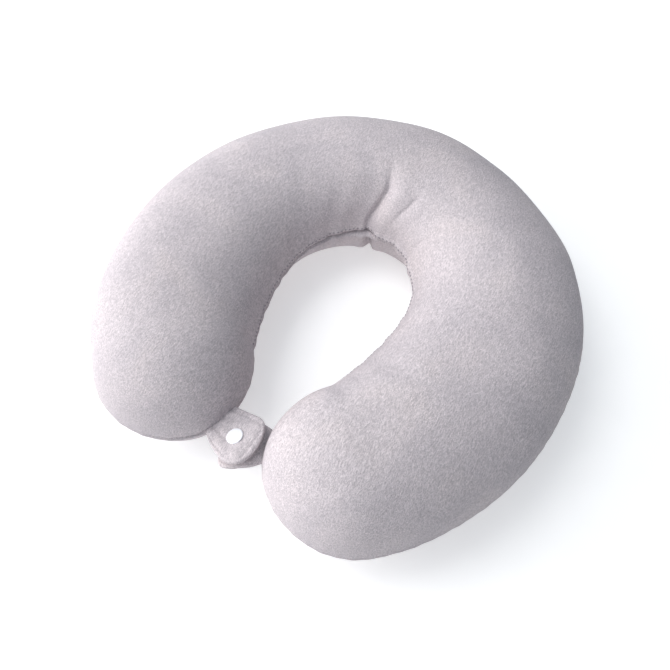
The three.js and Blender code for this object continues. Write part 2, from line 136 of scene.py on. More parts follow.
# The studio: its two lights as place, size and power, and how much its white table glows.
KEY_DIRECTION = Vector((-0.84, -0.44, 0.32)).normalized()
KEY_LIGHT = (KEY_DIRECTION * 1.4, 0.9, 10)
OVERHEAD_LIGHT = (Vector((-0.5, -0.2, 1.2)), 0.7, 5.3)
TABLE_HALF = 4.0
TABLE_GLOW = 0.37

# The surround's strength from its dark side to its bright one, by how far a way faces the key.
DARK_FACING = -0.38
SURROUND_STRENGTH = (0.06, 1.5)

# The camera looks at the seam's height over the middle of the U.
CAMERA_AZIMUTH = math.radians(32.31)
CAMERA_ELEVATION = math.radians(59.75)
CAMERA_DISTANCE = 0.4492
CAMERA_LENS = 36.64
CAMERA_SHIFT = (0.026, -0.0003)


# ---- the pillow's form ----

def cosine_sum(terms, angle):
    return sum(term * np.cos(order * angle) for order, term in enumerate(terms))


def spine_point(angle):
    radius = cosine_sum(CENTRELINE, angle)
    return np.stack([radius * np.sin(angle), radius * np.cos(angle) + CENTRE_Y], -1)


def outward_normal(angle):
    along = spine_point(angle + 0.001) - spine_point(angle - 0.001)
    along /= np.linalg.norm(along, axis=-1, keepdims=True)
    return np.stack([-along[..., 1], along[..., 0]], -1)


def corner_bulge(turned):
    return CORNER_BULGE * np.maximum(0, np.cos((turned - CORNER_TURN) * 1.6)) ** 2


def arm_end(sign, turned):
    """Stations round one arm's end, which turns half a circle about its last spine point."""
    angle = np.full(turned.shape, sign * ARM_END)
    out = outward_normal(angle)
    cosine, sine = np.cos(turned), -sign * np.sin(turned)
    out = np.stack([
        out[:, 0] * cosine - out[:, 1] * sine,
        out[:, 0] * sine + out[:, 1] * cosine,
    ], -1)
    width = cosine_sum(HALF_WIDTH, angle) + corner_bulge(turned)
    return angle, out, width


def outline(grid):
    """The stations round the pillow: up the outer side, round an end, back inside, round the other."""
    side, cap = grid["side"], grid["cap"]
    angles = np.linspace(-ARM_END, ARM_END, side + 1)
    turned = np.pi * np.arange(1, cap) / cap
    right = arm_end(1, turned)
    left = arm_end(-1, turned[::-1])
    outer = (angles, outward_normal(angles), cosine_sum(HALF_WIDTH, angles))
    inner = (angles[::-1], -outer[1][::-1], outer[2][::-1])
    parts = (outer, right, inner, left)
    angle, out, width = (np.concatenate([part[place] for part in parts]) for place in range(3))
    index = np.concatenate([
        np.arange(side + 1), np.full(cap - 1, side), np.arange(side, -1, -1), np.zeros(cap - 1, int),
    ])
    kind = np.concatenate([
        np.ones(side + 1), np.zeros(cap - 1), -np.ones(side + 1), np.zeros(cap - 1),
    ])
    return {
        "angle": angle, "out": out, "width": width, "index": index, "kind": kind,
        "spine": spine_point(angle),
    }


def spine_size(stations):
    return stations["index"].max() + 1


def outward_3d(stations):
    return np.concatenate([stations["out"], np.zeros((len(stations["out"]), 1))], -1)


def falls(rings, dense):
    """Angles from the top (0) over the seam (pi / 2) to the underside (pi)."""
    half = np.linspace(0, math.pi / 2, rings + 1)
    if dense:
        half = math.pi / 2 * (1 - (1 - half / (math.pi / 2)) ** 1.35)
    return np.concatenate([half, math.pi - half[-2::-1]])


def settle(z):
    """Rests the underside on the floor, with a soft edge to the flattened patch."""
    soft = 0.003
    return 0.5 * (z + np.sqrt(z * z + soft * soft)) - 0.0004


def form(stations, fall):
    """Points of the plain form, by fall (rows) and station (columns)."""
    power = 2 / ROUNDNESS
    across = np.abs(np.sin(fall))[:, None] ** power
    upness = (np.sign(np.cos(fall)) * np.abs(np.cos(fall)) ** power)[:, None]
    reach = across * stations["width"]
    rise = cosine_sum(RISE, stations["angle"])
    height = np.where(upness > 0, upness * rise, upness * DEPTH)
    xy = stations["spine"] + stations["out"] * reach[..., None]
    return np.concatenate([xy, settle(SEAM_Z + height)[..., None]], -1)


def normals_of(points):
    """Outward normals of a grid of points that closes round its columns."""
    round_way = np.roll(points, -1, 1) - np.roll(points, 1, 1)
    over_way = np.gradient(points, axis=0)
    normal = np.cross(round_way, over_way)
    length = np.linalg.norm(normal, axis=-1, keepdims=True)
    normal = normal / np.maximum(length, 1e-12)
    normal[0] = (0, 0, 1)
    normal[-1] = (0, 0, -1)
    return normal


def grid_faces(stations, rows, first_row, last_row):
    """Faces between two rows of the grid; the first and last rows are the shared spine."""
    count = len(stations["index"])
    spine_count = spine_size(stations)

    def vertex(row, place):
        place %= count
        if row == 0:
            return int(stations["index"][place])
        if row == rows - 1:
            return int(spine_count + (rows - 2) * count + stations["index"][place])
        return spine_count + (row - 1) * count + place

    faces = []
    for row in range(first_row, last_row):
        for place in range(count):
            corners = [
                vertex(row, place), vertex(row + 1, place),
                vertex(row + 1, place + 1), vertex(row, place + 1),
            ]
            distinct = list(dict.fromkeys(corners))
            if len(distinct) > 2:
                faces.append(distinct)
    return faces


def grid_vertices(stations, points):
    """The grid's points as one list, its first and last rows reduced to the spine."""
    spine_count = spine_size(stations)
    top, bottom = points[0, :spine_count], points[-1, :spine_count]
    return np.concatenate([top, points[1:-1].reshape(-1, 3), bottom])


def grid_from(stations, rows, vertices):
    """The other way: a full grid from the list."""
    spine_count = spine_size(stations)
    count = len(stations["index"])
    middle = vertices[spine_count:spine_count + (rows - 2) * count].reshape(rows - 2, count, 3)
    top = vertices[:spine_count][stations["index"]]
    bottom = vertices[-spine_count:][stations["index"]]
    return np.concatenate([top[None], middle, bottom[None]])


# ---- making objects ----

def make_object(name, vertices, faces, smooth=True):
    mesh = bpy.data.meshes.new(name)
    mesh.from_pydata([tuple(map(float, v)) for v in vertices], [], faces)
    mesh.validate()
    work = bmesh.new()
    work.from_mesh(mesh)
    bmesh.ops.recalc_face_normals(work, faces=work.faces)
    work.to_mesh(mesh)
    work.free()
    mesh.polygons.foreach_set("use_smooth", [smooth] * len(mesh.polygons))
    made = bpy.data.objects.new(name, mesh)
    bpy.context.scene.collection.objects.link(made)
    return made


def ring_faces(base, rings, sides):
    """Faces between rings of vertices that follow each other, each ring closed on itself."""
    faces = []
    for here in range(base, base + (rings - 1) * sides, sides):
        for turn in range(sides):
            after = (turn + 1) % sides
            faces.append([here + turn, here + after, here + sides + after, here + sides + turn])
    return faces


def end_faces(base, rings, sides):
    """One face over the first ring and one over the last."""
    last = base + (rings - 1) * sides
    return [list(range(base, base + sides))[::-1], list(range(last, last + sides))]


def leaf_faces(rows, columns):
    """Faces of a thin leaf: two layers of vertices, one listed after the other, and the edge between."""
    count = rows * columns
    faces = []
    for row in range(rows - 1):
        for place in range(columns - 1):
            corner = row * columns + place
            quad = [corner, corner + 1, corner + columns + 1, corner + columns]
            faces.append(quad[::-1])
            faces.append([index + count for index in quad])
    border = [row * columns for row in range(rows)]
    border += [count - columns + place for place in range(1, columns)]
    border += [row * columns + columns - 1 for row in range(rows - 2, -1, -1)]
    border += list(range(columns - 2, 0, -1))
    for here, after in zip(border, border[1:] + border[:1]):
        faces.append([here, after, after + count, here + count])
    return faces


def coordinates(mesh):
    flat = np.empty(len(mesh.vertices) * 3)
    mesh.vertices.foreach_get("co", flat)
    return flat.reshape(-1, 3)


def apply_modifiers(made):
    depsgraph = bpy.context.evaluated_depsgraph_get()
    mesh = bpy.data.meshes.new_from_object(made.evaluated_get(depsgraph))
    made.modifiers.clear()
    made.data = mesh
    return made


def dress(made, material, body, slot, *nodes):
    """Gives a piece its material and body, and hides the CAD nodes that it stands for."""
    made.data.materials.clear()
    made.data.materials.append(material)
    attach(made, body)
    if nodes:
        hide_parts(*nodes)
    return made


# ---- the cover: cloth simulation, then folds, seam and notch ----

def swell(shell, seam):
    """Runs Cloth on a closed shell: pressure from inside, no gravity, and a seam that draws tight."""
    settings = shell.modifiers.new("cloth", "CLOTH").settings
    settings.quality = 5
    settings.mass = 0.15
    settings.tension_stiffness = 20
    settings.compression_stiffness = 20
    settings.shear_stiffness = 8
    settings.bending_stiffness = 0.3
    settings.use_pressure = True
    settings.uniform_pressure_force = 4
    settings.vertex_group_shrink = seam.name
    settings.shrink_min = -PANEL_GROWTH
    settings.shrink_max = SEAM_SHRINKING
    settings.effector_weights.gravity = 0
    for number in range(1, CLOTH_FRAMES + 1):
        bpy.context.scene.frame_set(number)
    return coordinates(shell.evaluated_get(bpy.context.evaluated_depsgraph_get()).data)


def simulated_wrinkles():
    """Swells the closed cover with Cloth, its seam drawn tighter than its panels.

    Returns the wrinkles alone, as offsets on the coarse grid: the even swelling is taken out.
    """
    stations = outline(COARSE)
    fall = falls(COARSE["rings"], dense=False)
    rows = len(fall)
    start = form(stations, fall)
    faces = grid_faces(stations, rows, 0, rows - 1)
    shell = make_object("cloth_trial", grid_vertices(stations, start), faces)
    seam = shell.vertex_groups.new(name="seam")
    before = coordinates(shell.data)
    near = np.exp(-((before[:, 2] - SEAM_Z) / 0.004) ** 2)
    for place, weight in enumerate(near):
        if weight > 0.02:
            seam.add([place], float(weight), "REPLACE")
    moved = swell(shell, seam) - before
    bpy.context.scene.frame_set(1)
    bpy.data.objects.remove(shell)
    length = np.linalg.norm(moved, axis=1, keepdims=True)
    moved *= np.minimum(1, CLOTH_REACH / np.maximum(length, 1e-9))
    grid = grid_from(stations, rows, moved)
    return fall, WRINKLE_SHARE * blurred(grid - blurred(grid, 9), 1)


def blurred(grid, rounds):
    """A grid smoothed round its columns and over its rows."""
    for _ in range(rounds):
        grid = 0.5 * grid + 0.25 * (np.roll(grid, 1, 1) + np.roll(grid, -1, 1))
        padded = np.concatenate([grid[:1], grid, grid[-1:]])
        grid = 0.5 * grid + 0.25 * (padded[:-2] + padded[2:])
    return grid


def on_fine_grid(fall_from, grid, fall_to):
    """A coarse grid's offsets on the fine grid, where each coarse step is a whole number of fine ones."""
    ratio = FINE["side"] // COARSE["side"]
    count = grid.shape[1]
    place = np.arange(count * ratio) / ratio
    low = place.astype(int)
    share = (place - low)[None, :, None]
    wide = grid[:, low % count] * (1 - share) + grid[:, (low + 1) % count] * share
    row = np.interp(fall_to, fall_from, np.arange(len(fall_from)))
    low = np.minimum(row.astype(int), len(fall_from) - 2)
    share = (row - low)[:, None, None]
    return blurred(wide[low] * (1 - share) + wide[low + 1] * share, 3)


def bump(distance, width):
    return np.exp(-(distance / width) ** 2)


def crease(angle_degrees, across, route, sideways):
    """How far each point lies from a crease, in metres: route gives its angle by distance across."""
    steps, angles = zip(*route)
    middle = np.interp(across, steps, angles)
    return np.radians(angle_degrees - middle) * sideways


def fold_section(away, depth, height):
    """A fold from left to right: a soft fall, a steep dark wall, a crease, a gentle rise, a full side."""
    left = np.exp(-(np.abs(away) / 0.0021) ** 1.3)
    right = np.exp(-(np.abs(away) / 0.0052) ** 1.3)
    fall = 0.8 * bump(away + 0.005, 0.015)
    return -depth * (np.where(away < 0, left, right) + fall) + height * bump(away - 0.012, 0.0085)


def folds():
    """Each fold's route in degrees and its strength, both by distance across, and its section."""
    return (
        # the main fold: a sharp valley with a fuller ridge on its right
        (
            ((-1.0, -13.0), (-0.96, -12.5), (-0.81, -9.2), (-0.59, -6.8), (-0.39, -7.6), (-0.1, -9.0)),
            ((-1.0, 0.8), (-0.9, 1.0), (-0.6, 0.8), (-0.42, 0.25), (-0.1, 0.0)),
            lambda away: fold_section(away, 0.0046, 0.0019),
        ),
        # a finer crease right of it, then a faint one on each side
        (
            ((-0.9, 1.0), (-0.7, 4.5), (-0.5, 6.0)),
            ((-0.93, 0.0), (-0.8, 1.0), (-0.62, 0.9), (-0.45, 0.0)),
            lambda away: fold_section(away * 1.6, 0.0013, 0.0006),
        ),
        (
            ((-1.0, 19.0), (-0.8, 22.5)),
            ((-1.0, 0.6), (-0.9, 1.0), (-0.72, 0.0)),
            lambda away: -0.0012 * bump(away, 0.0028),
        ),
        (
            ((-1.0, -33.0), (-0.6, -26.0)),
            ((-1.0, 0.7), (-0.85, 1.0), (-0.5, 0.0)),
            lambda away: -0.0009 * bump(away, 0.007),
        ),
    )


def fold_offsets(points, stations, fall):
    """The soft folds that run from the inner back seam up over the top, as normal offsets."""
    angle = np.degrees(stations["angle"])[None, :]
    across = np.sin(fall)[:, None] * np.where(stations["kind"] == 0, 0, stations["kind"])[None, :]
    on_top = (np.cos(fall) > 0)[:, None]
    sideways = np.hypot(points[..., 0], points[..., 1] - CENTRE_Y)
    offset = np.zeros(points.shape[:2])
    for route, strengths, section in folds():
        strength = np.interp(across, *zip(*strengths))
        offset += on_top * strength * section(crease(angle, across, route, sideways))
    return offset


def slow_swell(points):
    """The uneven fullness of hand-stuffed foam: long, low waves from a few fixed directions."""
    waves = (
        ((31, 17, 9), 0.3, 0.0007), ((-22, 35, 14), 1.9, 0.0006), ((47, -28, 20), 4.1, 0.0004),
        ((63, 52, -31), 2.6, 0.00025), ((-88, 41, 37), 5.2, 0.0002),
    )
    return sum(size * np.sin(points @ np.array(pitch) + phase) for pitch, phase, size in waves)


def seam_offsets(points, stations, fall):
    """The seam's groove, the welt beside it and the gathers across it, as normal offsets."""
    from_seam = np.abs(points[..., 2] - SEAM_Z)
    above = points[..., 2] >= SEAM_Z
    inner = (stations["kind"] < 0)[None, :]
    angle = np.degrees(stations["angle"])[None, :]
    steps = np.linalg.norm(points[len(fall) // 2] - np.roll(points[len(fall) // 2], 1, 0), axis=1)
    arc = np.cumsum(steps)[None, :]
    groove = -0.0016 * bump(from_seam, 0.0016)
    welt = np.where(inner & above & (angle > -8), 0.0014, 0.0006) * bump(from_seam - 0.0036, 0.0019)
    gather = 0.00035 * np.sin(arc * 2 * np.pi / 0.0095 + 1.7 * np.sin(arc * 23))
    gather = gather + 0.0003 * np.sin(arc * 2 * np.pi / 0.0162 + 2.3 * np.sin(arc * 11))
    tight = np.interp(angle, (-60, -25, 20, 45), (0.6, 1.1, 1.1, 0.45))
    drawn = bump(from_seam - 0.003, 0.0065) * np.where(inner, tight, 0.3)
    return groove + welt + drawn * gather


def notch_depth(points, stations):
    """How far the lower panel is caught in at the V pinch of the inner back seam."""
    sideways = np.hypot(points[..., 0], points[..., 1] - CENTRE_Y)
    away = np.abs(stations["angle"] + math.radians(12.2))[None, :] * sideways
    below = points[..., 2] - SEAM_Z
    pinch = np.maximum(0, 1 - away / 0.0040) - 0.2 * bump(away - 0.0075, 0.004)
    depth = 0.0064 * pinch * bump(below + 0.020, 0.025) * np.clip(-below / 0.007, 0, 1)
    return np.where((stations["kind"] < 0)[None, :], depth, 0)


def tuck_under(points, stations):
    """How far the lower panel draws in just below the seam, which leaves the seam the widest line."""
    below = SEAM_Z - points[..., 2]
    drawn = np.clip((below - 0.002) / 0.007, 0, 1) * np.clip((SEAM_Z - below) / 0.02, 0, 1)
    inner = 0.0034 + 0.0026 * bump(stations["angle"] + math.radians(12), math.radians(34))
    return drawn * np.where(stations["kind"] < 0, inner, 0.0024)[None, :]


def back_draw(points, stations):
    """How far the tight seam draws the inner back away from the hole; right of it the foam bulges."""
    inner = (stations["kind"] < 0)[None, :]
    drawn = 0.0030 * bump(stations["angle"] + math.radians(13), math.radians(40))
    full = 0.0024 * bump(stations["angle"] - math.radians(28), math.radians(12))
    return (drawn - full)[None, :] * bump(points[..., 2] - SEAM_Z, 0.026) * inner


def shaped_cover():
    """The cover's outer surface as a fine grid of points, and that grid's stations and falls."""
    stations = outline(FINE)
    fall = falls(FINE["rings"], dense=True)
    points = form(stations, fall)
    normal = normals_of(points)
    coarse_fall, wrinkles = simulated_wrinkles()
    offset = fold_offsets(points, stations, fall) + slow_swell(points)
    offset += seam_offsets(points, stations, fall)
    resting = np.clip(points[..., 2] / 0.006, 0, 1)
    moved = points + normal * (offset * resting)[..., None]
    moved += on_fine_grid(coarse_fall, wrinkles, fall) * resting[..., None]
    depth = notch_depth(points, stations) + tuck_under(points, stations) + back_draw(points, stations)
    moved -= outward_3d(stations)[None] * depth[..., None]
    moved[..., 2] = np.maximum(moved[..., 2], 0.0001)
    return stations, fall, moved


def open_for_zip(points, stations):
    """Draws the two panels' edges apart along the zip."""
    fade = math.radians(3)
    ease = np.clip((ZIP_OPENING + fade - np.abs(stations["angle"])) / fade, 0, 1)
    ease = np.where(stations["kind"] > 0, ease * ease * (3 - 2 * ease), 0)[None, :]
    middle = len(points) // 2
    side = np.where(np.arange(len(points)) <= middle, 1, -1)[:, None]
    room = np.maximum(0, 1 - np.abs(points[..., 2] - SEAM_Z) / SEAM_BAND)
    shifted = points.copy()
    shifted[..., 2] += side * ZIP_RIM * room * ease
    return shifted


def panel_shell(name, stations, grid, upper):
    """The upper or lower half of a grid as one object, its rim turned in at the seam."""
    rows = len(grid)
    middle = rows // 2
    faces = grid_faces(stations, rows, 0 if upper else middle, middle if upper else rows - 1)
    vertices = grid_vertices(stations, grid)
    count = len(stations["index"])
    rim_start = spine_size(stations) + (middle - 1) * count
    lean = np.array([0, 0, 0.0004 if upper else -0.0004])
    turned = grid[middle] - outward_3d(stations) * TURNED_IN + lean
    base = len(vertices)
    vertices = np.concatenate([vertices, turned])
    for place in range(count):
        after = (place + 1) % count
        faces.append([rim_start + place, base + place, base + after, rim_start + after])
    used = sorted({corner for face in faces for corner in face})
    order = {old: new for new, old in enumerate(used)}
    faces = [[order[corner] for corner in face] for face in faces]
    return make_object(name, vertices[used], faces)


def build_cover(material, stations, points):
    middle = len(points) // 2
    apart = open_for_zip(points, stations)
    lower = apart.copy()
    lower[middle, :, 2] = 2 * points[middle, :, 2] - apart[middle, :, 2]
    for name, grid, upper in (("cover_top", apart, True), ("cover_bottom", lower, False)):
        piece = panel_shell(name, stations, grid, upper)
        dress(piece, material, "pillow", "velvet", name + "_panel")


def layer_below(points, depth):
    """The same surface, drawn in evenly by a depth."""
    inside = points - normals_of(points) * depth
    inside[..., 2] = np.maximum(inside[..., 2], depth)
    return inside


def clear_of_zip(points, stations):
    """Draws the outer back in beside the zip, whose tapes lie there."""
    over = (stations["kind"] > 0) & (np.abs(stations["angle"]) < ZIP_OPENING + math.radians(9))
    near = np.maximum(0, 1 - ((points[..., 2] - SEAM_Z) / 0.018) ** 2) ** 0.5
    return points - outward_3d(stations)[None] * (ZIP_RECESS * near * over[None, :])[..., None]


def build_filling(lining, foam, stations, points):
    """The sewn bag and the foam in it, just under the cover and following its folds."""
    recessed = clear_of_zip(points, stations)
    inside = layer_below(recessed, LINER_DEPTH)
    for name, upper in (("liner_top", True), ("liner_bottom", False)):
        piece = panel_shell(name, stations, inside, upper)
        dress(piece, lining, "pillow", "lining", name + "_panel")
    block = layer_below(recessed, FOAM_DEPTH)
    rows = len(block)
    piece = make_object(
        "foam_block", grid_vertices(stations, block), grid_faces(stations, rows, 0, rows - 1))
    dress(piece, foam, "pillow", "foam", "foam_core")


# ---- materials ----

def new_material(name, colour, roughness, metallic=0.0):
    material = bpy.data.materials.new(name)
    material.use_nodes = True
    shader = material.node_tree.nodes["Principled BSDF"]
    shader.inputs["Base Color"].default_value = (*colour, 1)
    shader.inputs["Roughness"].default_value = roughness
    shader.inputs["Metallic"].default_value = metallic
    return material, material.node_tree, shader


def noise_node(tree, scale, detail=2.0, stretch=(1, 1, 1), turn=(0, 0, 0), distortion=0.0):
    place = tree.nodes.new("ShaderNodeTexCoord")
    mapping = tree.nodes.new("ShaderNodeMapping")
    mapping.inputs["Scale"].default_value = stretch
    mapping.inputs["Rotation"].default_value = turn
    noise = tree.nodes.new("ShaderNodeTexNoise")
    noise.inputs["Scale"].default_value = scale
    noise.inputs["Detail"].default_value = detail
    noise.inputs["Distortion"].default_value = distortion
    tree.links.new(place.outputs["Object"], mapping.inputs["Vector"])
    tree.links.new(mapping.outputs["Vector"], noise.inputs["Vector"])
    return noise.outputs["Fac"]


def colour_ramp(tree, factor, stops):
    ramp = tree.nodes.new("ShaderNodeValToRGB")
    for element, (position, colour) in zip(ramp.color_ramp.elements, (stops[0], stops[-1])):
        element.position = position
        element.color = (*colour, 1)
    for position, colour in stops[1:-1]:
        ramp.color_ramp.elements.new(position).color = (*colour, 1)
    tree.links.new(factor, ramp.inputs["Fac"])
    return ramp.outputs["Color"]


def set_tone(tree, shader, factor, stops):
    tree.links.new(colour_ramp(tree, factor, stops), shader.inputs["Base Color"])


def set_roughness(tree, shader, factor, least, most):
    rough = tree.nodes.new("ShaderNodeMapRange")
    rough.inputs["To Min"].default_value = least
    rough.inputs["To Max"].default_value = most
    tree.links.new(factor, rough.inputs["Value"])
    tree.links.new(rough.outputs["Result"], shader.inputs["Roughness"])


def multiplied(tree, first, second, factor):
    mix = tree.nodes.new("ShaderNodeMix")
    mix.data_type = "RGBA"
    mix.blend_type = "MULTIPLY"
    mix.inputs["Factor"].default_value = factor
    tree.links.new(first, mix.inputs["A"])
    tree.links.new(second, mix.inputs["B"])
    return mix.outputs["Result"]


def add_bump(tree, shader, height, distance, strength=1.0):
    node = tree.nodes.new("ShaderNodeBump")
    node.inputs["Distance"].default_value = distance
    node.inputs["Strength"].default_value = strength
    tree.links.new(height, node.inputs["Height"])
    previous = shader.inputs["Normal"].links
    if previous:
        tree.links.new(previous[0].from_socket, node.inputs["Normal"])
    tree.links.new(node.outputs["Normal"], shader.inputs["Normal"])


def velvet_material():
    """Short brushed pile: lilac grey, mottled by its nap, with a fine fibre grain and a soft sheen."""
    material, tree, shader = new_material("velvet", (0.6, 0.55, 0.6), 0.9)
    shader.inputs["Specular IOR Level"].default_value = 0.15
    shader.inputs["Sheen Weight"].default_value = 0.12
    shader.inputs["Sheen Roughness"].default_value = 0.45
    shader.inputs["Sheen Tint"].default_value = (0.96, 0.93, 0.97, 1)
    nap = noise_node(tree, 22, 3, distortion=0.6)
    tone = colour_ramp(tree, nap, (
        (0.30, (0.70, 0.64, 0.665)), (0.5, (0.77, 0.70, 0.72)), (0.70, (0.82, 0.74, 0.75)),
    ))
    strokes = noise_node(tree, 800, 3, stretch=(2.0, 0.45, 1.4), turn=(0.3, 0.2, 0.7), distortion=0.3)
    brushed = colour_ramp(tree, strokes, ((0.38, (0.68, 0.68, 0.69)), (0.62, (1.0, 1.0, 1.0))))
    fibre = noise_node(tree, 1900, 3, stretch=(1.5, 0.6, 1.2), turn=(0.2, 0.1, 0.7))
    speckle = colour_ramp(tree, fibre, ((0.38, (0.60, 0.60, 0.61)), (0.62, (1.0, 1.0, 1.0))))
    colour = multiplied(tree, multiplied(tree, tone, brushed, 0.8), speckle, 0.8)
    tree.links.new(colour, shader.inputs["Base Color"])
    add_bump(tree, shader, fibre, 0.0006, 0.55)
    add_bump(tree, shader, strokes, 0.0010, 0.35)
    return material


def woven_material(name, colour, threads, roughness=0.85):
    """A plain weave of fine threads."""
    material, tree, shader = new_material(name, colour, roughness)
    place = tree.nodes.new("ShaderNodeTexCoord")
    heights = []
    for direction in ("X", "Z"):
        wave = tree.nodes.new("ShaderNodeTexWave")
        wave.bands_direction = direction
        wave.inputs["Scale"].default_value = threads
        wave.inputs["Distortion"].default_value = 0.6
        tree.links.new(place.outputs["Object"], wave.inputs["Vector"])
        heights.append(wave.outputs["Fac"])
    weave = tree.nodes.new("ShaderNodeMath")
    weave.operation = "MULTIPLY"
    tree.links.new(heights[0], weave.inputs[0])
    tree.links.new(heights[1], weave.inputs[1])
    dark = tuple(0.72 * value for value in colour)
    set_tone(tree, shader, weave.outputs[0], ((0.0, dark), (0.6, colour)))
    add_bump(tree, shader, weave.outputs[0], 0.0002, 0.6)
    shader.inputs["Sheen Weight"].default_value = 0.15
    return material


def foam_material():
    material, tree, shader = new_material("foam", (0.86, 0.78, 0.55), 0.95)
    cells = tree.nodes.new("ShaderNodeTexVoronoi")
    cells.inputs["Scale"].default_value = 900
    place = tree.nodes.new("ShaderNodeTexCoord")
    tree.links.new(place.outputs["Object"], cells.inputs["Vector"])
    set_tone(tree, shader, cells.outputs["Distance"], ((0.0, (0.6, 0.5, 0.3)), (0.5, (0.88, 0.8, 0.58))))
    add_bump(tree, shader, cells.outputs["Distance"], 0.0004, 0.7)
    return material


def resin_material():
    """Moulded white resin: a soft gloss, faint flow marks and fine rubbed scuffs."""
    material, tree, shader = new_material("snap_resin", (0.91, 0.91, 0.95), 0.32)
    flow = noise_node(tree, 240, 3, distortion=1.2)
    set_tone(tree, shader, flow, ((0.3, (0.86, 0.86, 0.90)), (0.7, (0.93, 0.93, 0.97))))
    scuffs = noise_node(tree, 1400, 2, stretch=(1, 0.2, 1))
    set_roughness(tree, shader, scuffs, 0.26, 0.42)
    add_bump(tree, shader, flow, 0.00005, 0.4)
    shader.inputs["Subsurface Weight"].default_value = 0.1
    shader.inputs["Subsurface Radius"].default_value = (0.002, 0.002, 0.002)
    return material


def nickel_material():
    """Plated metal, brushed and a little worn."""
    material, tree, shader = new_material("nickel", (0.62, 0.62, 0.63), 0.3, 1.0)
    worn = noise_node(tree, 500, 4, stretch=(1, 1, 0.25))
    set_tone(tree, shader, worn, ((0.3, (0.50, 0.50, 0.51)), (0.7, (0.68, 0.68, 0.69))))
    set_roughness(tree, shader, worn, 0.22, 0.45)
    add_bump(tree, shader, worn, 0.00003, 0.5)
    return material


def filament_material():
    material, tree, shader = new_material("zip_filament", (0.50, 0.47, 0.50), 0.4)
    tint = noise_node(tree, 800, 2)
    set_tone(tree, shader, tint, ((0.3, (0.44, 0.41, 0.44)), (0.7, (0.56, 0.53, 0.56))))
    add_bump(tree, shader, tint, 0.00005, 0.4)
    return material


def thread_material():
    material, tree, shader = new_material("thread", (0.26, 0.24, 0.27), 0.7)
    twist = noise_node(tree, 2500, 2, stretch=(1, 1, 0.4))
    set_tone(tree, shader, twist, ((0.3, (0.19, 0.17, 0.19)), (0.7, (0.33, 0.30, 0.33))))
    add_bump(tree, shader, twist, 0.0001, 0.5)
    return material


# ---- stitches along the seam ----

def build_stitches(material, stations, points):
    """One piece of short sewn stitches, which lie on the upper panel just above the inner seam."""
    row = len(points) // 2 - STITCH_ROW
    line = points[row] - normals_of(points)[row] * STITCH_SINK
    inner = np.nonzero(stations["kind"] < 0)[0]
    steps = np.linalg.norm(np.diff(line[inner], axis=0), axis=1)
    arc = np.concatenate([[0], np.cumsum(steps)])
    vertices, faces = [], []
    for start in np.arange(0, arc[-1] - STITCH_PITCH, STITCH_PITCH):
        ends = [
            np.array([np.interp(distance, arc, line[inner, axis]) for axis in range(3)])
            for distance in (start, start + STITCH_LENGTH)
        ]
        if np.linalg.norm(ends[1] - ends[0]) > 0.5 * STITCH_LENGTH:
            add_stitch(vertices, faces, ends)
    dress(make_object("seam_stitches", vertices, faces), material, "pillow", "velvet")


def add_stitch(vertices, faces, ends):
    sides = 6
    shares = ((0, 0.35), (0.2, 1), (0.8, 1), (1, 0.35))
    along = (ends[1] - ends[0]) / np.linalg.norm(ends[1] - ends[0])
    side = np.cross(along, (0, 0, 1))
    base = len(vertices)
    for share, size in shares:
        for turn in range(sides):
            angle = 2 * math.pi * turn / sides
            spread = side * math.cos(angle) + np.array([0, 0, 1]) * math.sin(angle)
            vertices.append(ends[0] + (ends[1] - ends[0]) * share + spread * STITCH_RADIUS * size)
    faces.extend(ring_faces(base, len(shares), sides))
    faces.extend(end_faces(base, len(shares), sides))


# ---- the tabs ----

def arm_wall(y):
    """How far the left arm's end reaches towards +X at one y."""
    end = spine_point(np.array(-ARM_END))
    out = outward_normal(np.array(-ARM_END))
    outward_angle = math.atan2(out[1], out[0])
    radius = plain = float(cosine_sum(HALF_WIDTH, ARM_END))
    direction = 0.0
    for _ in range(6):
        direction = math.asin((y - end[1]) / radius)
        radius = plain + float(corner_bulge(direction - outward_angle))
    return end[0] + radius * math.cos(direction)


def upper_line(share, y):
    """A point and lean of the upper tab's underside, from inside the seam (0) to its tip (1)."""
    start = (arm_wall(y) - TAB_SEWN_IN - SNAP.x) / math.cos(TILT)
    along = start + (TAB_REACH - start) * share
    drooping = max(0.0, (share - TAB_DROOP_START) / (1 - TAB_DROOP_START))
    point = SNAP + TAB_ALONG * along - TAB_UP * 0.0016 * drooping ** 2
    return Vector((point.x, y, point.z)), TILT - 0.25 * drooping


def lower_line(share, y):
    """The lower tab leaves the right arm, humps up and runs down under the upper one."""
    meet = SNAP + TAB_UP * LOWER_STACK + TAB_ALONG * LOWER_BEND
    if share >= LOWER_FLAT_START:
        flat_share = (share - LOWER_FLAT_START) / (1 - LOWER_FLAT_START)
        run = flat_share * (TAB_REACH - 0.0045 + LOWER_BEND)
        point = meet - TAB_ALONG * run
        return Vector((point.x, y, point.z)), TILT
    root = -arm_wall(y)
    corners = (
        Vector((root + 0.0020, 0, SEAM_Z - 0.0020)),
        Vector((root - 0.0050, 0, SEAM_Z + 0.0020)),
        meet + TAB_ALONG * 0.0015,
        meet,
    )
    step = share / LOWER_FLAT_START
    shares = ((1 - step) ** 3, 3 * step * (1 - step) ** 2, 3 * step * step * (1 - step), step ** 3)
    point = sum((corner * part for corner, part in zip(corners, shares)), Vector())
    slope = (
        3 * (1 - step) ** 2 * (corners[1] - corners[0])
        + 6 * step * (1 - step) * (corners[2] - corners[1])
        + 3 * step * step * (corners[3] - corners[2])
    )
    return Vector((point.x, y, point.z)), math.atan2(-slope.z, -slope.x)


def tab_half_width(tip_distance):
    half = TAB_WIDTH / 2
    if tip_distance >= TAB_TIP:
        return half
    gone = 1 - tip_distance / TAB_TIP
    return half * math.sqrt(max(0.0025, 1 - gone ** 2.6))


